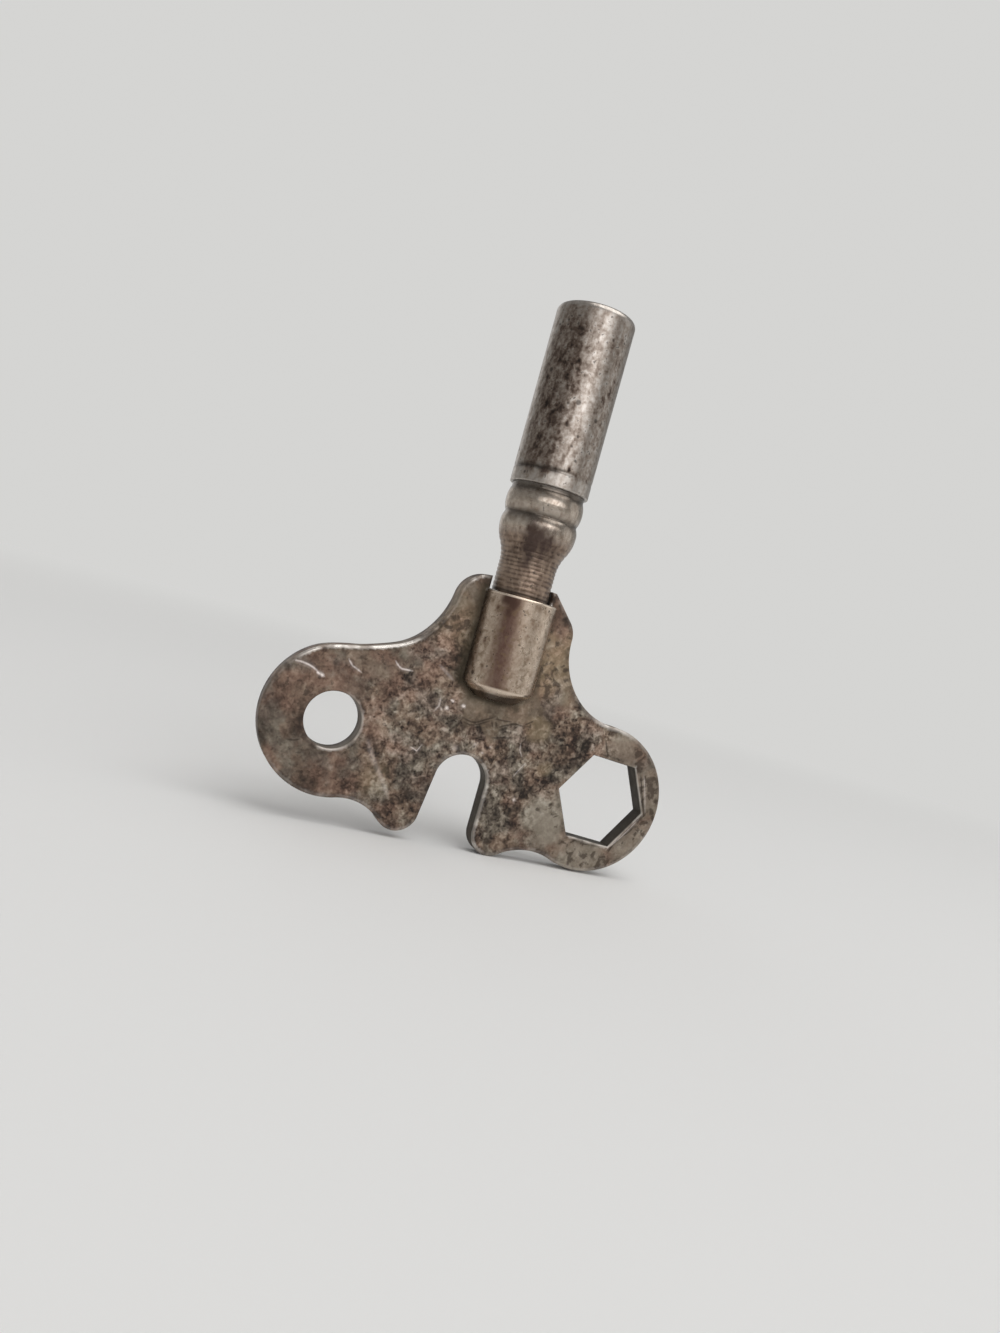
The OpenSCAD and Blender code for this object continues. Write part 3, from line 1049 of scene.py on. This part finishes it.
class Paint(Graph):
    """The nodes of one material. They read places in millimetres and the mesh's named values."""

    def __init__(self, name):
        self.material = bpy.data.materials.new(name)
        self.material.use_nodes = True
        super().__init__(self.material.node_tree)
        self.shader = self.tree.nodes["Principled BSDF"]
        place = self.add("ShaderNodeTexCoord").outputs["Object"]
        self.mm = self.add("ShaderNodeVectorMath", {0: place, "Scale": 1 / MM}, operation="SCALE").outputs[0]

    def stretched(self, scale):
        return self.add("ShaderNodeVectorMath", {0: self.mm, 1: scale}, operation="MULTIPLY").outputs[0]

    def cloud(self, scale, detail, rough, at=None, warp=0.0):
        """Noise with a number of waves per millimetre."""
        shape = {"Scale": scale, "Detail": detail, "Roughness": rough, "Distortion": warp}
        return self.add("ShaderNodeTexNoise", {"Vector": at or self.mm, **shape}).outputs["Fac"]

    def ramp(self, value, low, high, to_low=0.0, to_high=1.0):
        """A smooth step from to_low to to_high, while the value goes from low to high."""
        ends = {"From Min": low, "From Max": high, "To Min": to_low, "To Max": to_high}
        node = self.add("ShaderNodeMapRange", {"Value": value, **ends}, interpolation_type="SMOOTHSTEP")
        return node.outputs["Result"]

    def math(self, operation, a, b):
        return self.add("ShaderNodeMath", {0: a, 1: b}, operation=operation).outputs[0]

    def mix(self, share, a, b, blend="MIX"):
        inputs = {"Factor": share, "A": a, "B": b}
        return self.add("ShaderNodeMix", inputs, data_type="RGBA", blend_type=blend).outputs["Result"]

    def coats(self, colour, *layers):
        """The colour under layers of (share, paint), of which the last lies on top."""
        for share, paint in layers:
            colour = self.mix(share, colour, paint)
        return colour

    def value(self, name):
        """A named value of the mesh."""
        return self.add("ShaderNodeAttribute", attribute_name=name).outputs["Fac"]

    def part(self, name, weight):
        """A named value of the mesh, times a weight."""
        return self.math("MULTIPLY", self.value(name), weight)

    def total(self, *shares, plus=0.0):
        """Sum of (value, weight) pairs and a number."""
        found = plus
        for value, weight in shares:
            found = self.math("ADD", found, self.math("MULTIPLY", value, weight))
        return found

    def bump(self, height, distance, **under):
        """A normal for a height of so many millimetres, over another normal where one is given."""
        inputs = {"Strength": 1.0, "Distance": distance * MM, "Height": height, **under}
        return self.add("ShaderNodeBump", inputs).outputs["Normal"]

    def shade(self, inputs):
        """Sets the inputs of the material's shader."""
        for key, value in inputs.items():
            self.put(self.shader.inputs[key], value)


# Colours from dark to light, each with its place on the scale of tones
BOW_BROWN = [(0.20, (0.030, 0.023, 0.020)), (0.36, (0.082, 0.057, 0.044)), (0.50, (0.174, 0.121, 0.091)),
             (0.63, (0.275, 0.207, 0.157)), (0.80, (0.430, 0.350, 0.285))]
BOW_GREY = [(0.20, (0.029, 0.024, 0.020)), (0.36, (0.078, 0.063, 0.052)), (0.50, (0.152, 0.127, 0.102)),
            (0.63, (0.252, 0.216, 0.176)), (0.80, (0.412, 0.370, 0.315))]
SHANK_TONES = [(0.20, (0.027, 0.020, 0.017)), (0.38, (0.112, 0.081, 0.064)), (0.52, (0.252, 0.209, 0.175)),
               (0.66, (0.410, 0.372, 0.334)), (0.84, (0.585, 0.555, 0.520))]
WHITE = (1, 1, 1)
# Dark brown-black: soot in marks and pits, and the colour of painted shade
SOOT_AND_SHADE = (0.035, 0.027, 0.022)
WORN_AND_HIGHLIT_STEEL = (0.66, 0.62, 0.57)
STAIN = (0.36, 0.27, 0.165)
SPOT = (0.060, 0.043, 0.033)
PAINTED_SHADOW = (0.033, 0.026, 0.015)
BRIGHT_SCRATCH = (0.84, 0.76, 0.72)
DARK_REFLECTION = (0.078, 0.047, 0.044)
GROOVE = (0.070, 0.045, 0.034)
FRECKLE = (0.13, 0.098, 0.066)
MATTE = (0.26, 0.188, 0.135)
BURNT_AND_REFLECTED_DARK = (0.056, 0.036, 0.031)
BEAD_TINT = (1.0, 0.95, 0.89)
COLLAR_TINT = (1.28, 1.15, 1.02)

# Pairs of colours that a share mixes
CASTS = [(1.06, 0.97, 0.95), (1.0, 1.0, 0.97)]
BRAZE = [(0.155, 0.118, 0.082), (0.235, 0.182, 0.13)]
HOLE_WALL_SHADE = [(0.22, 0.178, 0.138), (0.035, 0.030, 0.022)]
NECK = [(0.182, 0.120, 0.082), (0.288, 0.202, 0.143)]


def bow_tarnish(g, cloud, blob, spot, grain):
    """The bow's mottled colour below its marks, and the relief that goes with it."""
    smooth = g.value("smooth")
    speck = g.ramp(g.cloud(2.5, 1, 0.5, warp=0.5), 0.60, 0.72)
    busy = g.total((blob, 0.78), (spot, 1.0), (grain, 0.44), (speck, -0.2), plus=-1.095)
    gain = g.total((g.ramp(g.value("mottled"), 0, 1, 0.36, 0.92), 1.0), (smooth, -0.2))
    relief = g.math("MULTIPLY", busy, gain)
    tone = g.total((relief, 1.0), (cloud, 0.52), (g.math("MULTIPLY", cloud, smooth), -0.3),
                   (g.value("dark"), -0.17), (smooth, 0.305), plus=0.237)
    hue = g.math("MAXIMUM", g.ramp(g.cloud(0.45, 3, 0.5), 0.42, 0.62), smooth)
    colour = g.mix(hue, g.colours(tone, BOW_BROWN), g.colours(tone, BOW_GREY))
    cast = g.ramp(g.cloud(0.33, 2, 0.5, at=g.stretched((1.0, 1.0, 1.3))), 0.4, 0.6)
    tint = g.mix(g.math("MAXIMUM", cast, smooth), *CASTS)
    return g.mix(1.0, colour, tint, "MULTIPLY"), relief


def bow_material():
    g = Paint("bow_steel")
    cloud = g.cloud(0.28, 4, 0.55, warp=0.5)
    blob = g.cloud(0.65, 3, 0.5, warp=0.4)
    spot = g.cloud(1.8, 1, 0.5, warp=0.5)
    grain = g.cloud(4.0, 1, 0.5)
    colour, relief = bow_tarnish(g, cloud, blob, spot, grain)
    spotted = g.total((g.cloud(1.2, 3, 0.55, warp=0.3), 1.0), (g.value("spots"), 0.16))
    hole_shade = g.value("hole_shade")
    hole = g.part("wall", hole_shade)
    # Painted highlight on rolled edges that look up and on the right of the openings
    edge = g.part("edge", g.ramp(blob, 0.36, 0.58, 0.35, 1))
    edge = g.math("MULTIPLY", edge, g.ramp(g.value("dark"), 0, 0.8, 1, 0.2))
    shine = g.part("scratch", g.ramp(spot, 0.35, 0.55, 0.6, 1))
    colour = g.coats(
        colour,
        (g.part("stain", 0.58), STAIN),
        (g.ramp(spotted, 0.60, 0.74, 0, 0.78), SPOT),
        (g.part("border", g.ramp(blob, 0.38, 0.6, 0.65, 0.1)), SOOT_AND_SHADE),
        (g.ramp(g.value("braze"), 0.35, 0.6, 0, 0.6), g.mix(g.ramp(cloud, 0.4, 0.6), *BRAZE)),
        (g.part("lines", 0.85), SOOT_AND_SHADE),
        # Painted shadow of the collar on the plate
        (g.part("collar_shadow", 0.88), PAINTED_SHADOW),
        # Painted shade on the openings' walls
        (g.ramp(hole, 0, 0.5, 0, 0.92), g.mix(hole_shade, *HOLE_WALL_SHADE)),
        # Painted shade on the back half of the walls
        (g.part("back", g.ramp(hole_shade, 0, 0.6, 0.72, 0.85)), SOOT_AND_SHADE),
        (edge, WORN_AND_HIGHLIT_STEEL),
        (shine, BRIGHT_SCRATCH),
    )
    dull = g.total((hole, 0.3), (g.value("wall"), 0.7))
    g.shade({
        "Base Color": colour,
        "Metallic": g.ramp(dull, 0, 1, 0.8, 0),
        "Specular IOR Level": g.ramp(dull, 0, 1, 0.5, 0.1),
        "Roughness": g.total((g.ramp(blob, 0.3, 0.7, 0.56, 0.44), 1.0), (edge, -0.22), (shine, -0.15)),
        "Normal": g.bump(grain, 0.01, Normal=g.bump(relief, 0.035)),
    })
    return g.material


def shank_material():
    g = Paint("shank_steel")
    streak = g.cloud(1.0, 4, 0.55, at=g.stretched((3.2, 3.2, 0.8)))
    blob = g.cloud(1.0, 3, 0.5, at=g.stretched((1.9, 1.9, 1.2)), warp=0.4)
    spot = g.cloud(2.6, 2, 0.5)
    grain = g.cloud(6.0, 2, 0.5)
    shade, collar, neck, polished = (g.value(name) for name in ("tarnish_and_painted_reflection", "collar", "neck", "polished"))
    barrel = g.math("SUBTRACT", 1.0, g.math("MAXIMUM", collar, neck))
    uneven = g.total((streak, 0.25), (blob, 0.8), (spot, 0.62), (grain, 0.2), plus=-0.935)
    gain = g.total((g.math("MULTIPLY", shade, barrel), 0.28), (barrel, 0.10), plus=0.33)
    tone = g.total((g.math("MULTIPLY", uneven, gain), 1.0), (shade, -0.17), plus=0.63)
    freckled = g.ramp(g.cloud(1.8, 2, 0.55, warp=0.4), 0.52, 0.66, 0, 0.55)
    burn_and_dark_reflection = g.part("burn_and_dark_reflection", g.ramp(blob, 0.3, 0.6, 1, 0.75))
    brown = g.mix(g.ramp(blob, 0.38, 0.62), *NECK)
    colour = g.coats(
        g.colours(tone, SHANK_TONES),
        # Painted dark reflection down the collar
        (g.part("streak", 0.6), DARK_REFLECTION),
        (g.part("neck", g.ramp(shade, 0, 1.2, 0.85, 0.1)), brown),
        (g.part("groove", g.ramp(blob, 0.36, 0.62, 0.75, 0.25)), GROOVE),
        (g.part("collar", freckled), FRECKLE),
        (g.part("matte", 0.7), MATTE),
        # Burns, and painted dark reflections on the swell and at the collar's top
        (g.ramp(burn_and_dark_reflection, 0.05, 0.8, 0, 0.92), BURNT_AND_REFLECTED_DARK),
        (g.ramp(spot, 0.64, 0.72, 0, 0.7), SOOT_AND_SHADE),
        (g.ramp(g.value("pit"), 0.1, 0.7, 0, 0.7), SOOT_AND_SHADE),
        # Wear on the shank's edges, and a painted highlight band round the collar's foot
        (g.part("worn", 0.8), WORN_AND_HIGHLIT_STEEL),
        # Painted shade in the hollows, under the foot, along the seam and at the saw cut's edges
        (g.part("dirt_and_painted_shade", 0.9), SOOT_AND_SHADE),
        (g.part("line", 0.85), SOOT_AND_SHADE),
    )
    tint = g.mix(collar, g.mix(polished, WHITE, BEAD_TINT), COLLAR_TINT)
    g.shade({
        "Base Color": g.mix(1.0, colour, tint, "MULTIPLY"),
        "Metallic": g.total((neck, -0.13), (g.value("matte"), -0.6), plus=0.95),
        "Roughness": g.total((g.ramp(tone, 0.3, 0.7, 0.44, 0.30), 1.0), (collar, -0.03), (polished, -0.08),
                             (g.value("worn"), -0.08), (burn_and_dark_reflection, 0.1)),
        "Normal": g.bump(streak, 0.003, Normal=g.bump(spot, 0.004)),
    })
    return g.material


# Stage

def make_camera():
    data = bpy.data.cameras.new("camera")
    data.sensor_width = SENSOR
    data.lens = FOCAL_PX * SENSOR / PHOTO_H
    data.clip_start = 0.005
    camera = placed("camera", data)
    turn = Matrix((EYE_RIGHT, EYE_UP, -EYE_FORWARD)).transposed().to_4x4()
    camera.matrix_world = Matrix.Translation(Vector(EYE * MM)) @ turn
    bpy.context.scene.camera = camera


BACKDROP = (0.665, 0.663, 0.65)
ROOM = [(0.05, (0.46, 0.46, 0.45)), (0.45, (0.30, 0.30, 0.30))]
FLOOR_PAINT = (0.80, 0.795, 0.78)
FLOOR_R = 3.0
FLOOR_FADE = (60, 420)

# Soft boxes: degrees right of the camera and above the horizon, metres away, size, radiance and colour
LIGHTS = {
    "ceiling": ((60, 68, 0.75), (0.9, 0.9), 2.0, WHITE),
    "window": ((22, 17, 0.7), (1.2, 0.26), 1.55, (0.98, 0.97, 0.98)),
    "window_core": ((29, 16, 0.65), (0.28, 0.14), 1.8, (0.97, 0.97, 1.0)),
    "right_wall": ((100, 10, 0.7), (0.5, 0.6), 0.42, WHITE),
    "left_wall": ((-145, 15, 0.7), (0.4, 0.5), 0.5, WHITE),
}


def make_floor(level):
    """A pale disc under the key that fades into the backdrop before its edge."""
    ring = circle(FLOOR_R, level)
    mesh = bpy.data.meshes.new("floor")
    mesh.from_pydata(ring, [], [tuple(range(len(ring)))])
    floor = placed("floor", mesh)
    g = Paint("floor_paint")
    g.shade({"Base Color": FLOOR_PAINT, "Roughness": 0.7})
    far = g.add("ShaderNodeEmission", {"Color": BACKDROP}).outputs[0]
    reach = g.add("ShaderNodeVectorMath", {0: g.stretched((1, 1, 0))}, operation="LENGTH").outputs["Value"]
    g.end_with("Material Output", g.ramp(reach, *FLOOR_FADE), g.shader.outputs[0], far)
    mesh.materials.append(g.material)


def make_world():
    """A plain backdrop, and round the key a room that is darker towards its ceiling."""
    world = bpy.data.worlds.new("studio")
    bpy.context.scene.world = world
    world.use_nodes = True
    g = Graph(world.node_tree)
    place = g.add("ShaderNodeTexCoord").outputs["Generated"]
    height = g.add("ShaderNodeSeparateXYZ", {0: place}).outputs["Z"]
    room = g.tree.nodes["Background"]
    g.put(room.inputs["Color"], g.colours(height, ROOM))
    seen = g.add("ShaderNodeBackground", {"Color": BACKDROP}).outputs[0]
    by_camera = g.add("ShaderNodeLightPath").outputs["Is Camera Ray"]
    g.end_with("World Output", by_camera, room.outputs[0], seen)


TARGET = Vector((0, 0, -0.03))


def round_the_key(side, height, distance):
    """A place by its angle right of the camera and above the horizon, seen from the key."""
    side, height = math.radians(side), math.radians(height)
    across = EYE_RIGHT * math.sin(side) - EYE_FORWARD * math.cos(side)
    level = Vector((across[0], across[1], 0)).normalized()
    return TARGET + distance * (level * math.cos(height) + Vector((0, 0, math.sin(height))))


def make_light(name, place, size, radiance, colour):
    """A soft box at a place, turned to the key."""
    data = bpy.data.lights.new(name, "AREA")
    data.shape = "ELLIPSE"
    data.size, data.size_y = size
    data.energy = radiance * math.pi * math.pi / 4 * size[0] * size[1]
    data.color = colour
    light = placed(name, data)
    light.location = place
    light.rotation_mode = "QUATERNION"
    light.rotation_quaternion = (TARGET - place).to_track_quat("-Z", "Y")


bpy.context.scene.view_settings.view_transform = "Standard"
make_camera()
make_world()
make_floor(cad_box[0].z)
for name, (place, size, radiance, colour) in LIGHTS.items():
    make_light(name, round_the_key(*place), size, radiance, colour)

SHANK_SHARP = math.radians(40)
BOW_SHARP = math.radians(50)
for piece, node, slot, material, sharp in (
    (make_shank(), "shank", "shank_steel", shank_material(), SHANK_SHARP),
    (make_bow(), "bow", "bow_steel", bow_material(), BOW_SHARP),
):
    piece.data.materials.clear()
    piece.data.materials.append(material)
    piece.data.shade_smooth()
    piece.data.set_sharp_from_angle(angle=sharp)
    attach(piece, "root")
    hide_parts(node)
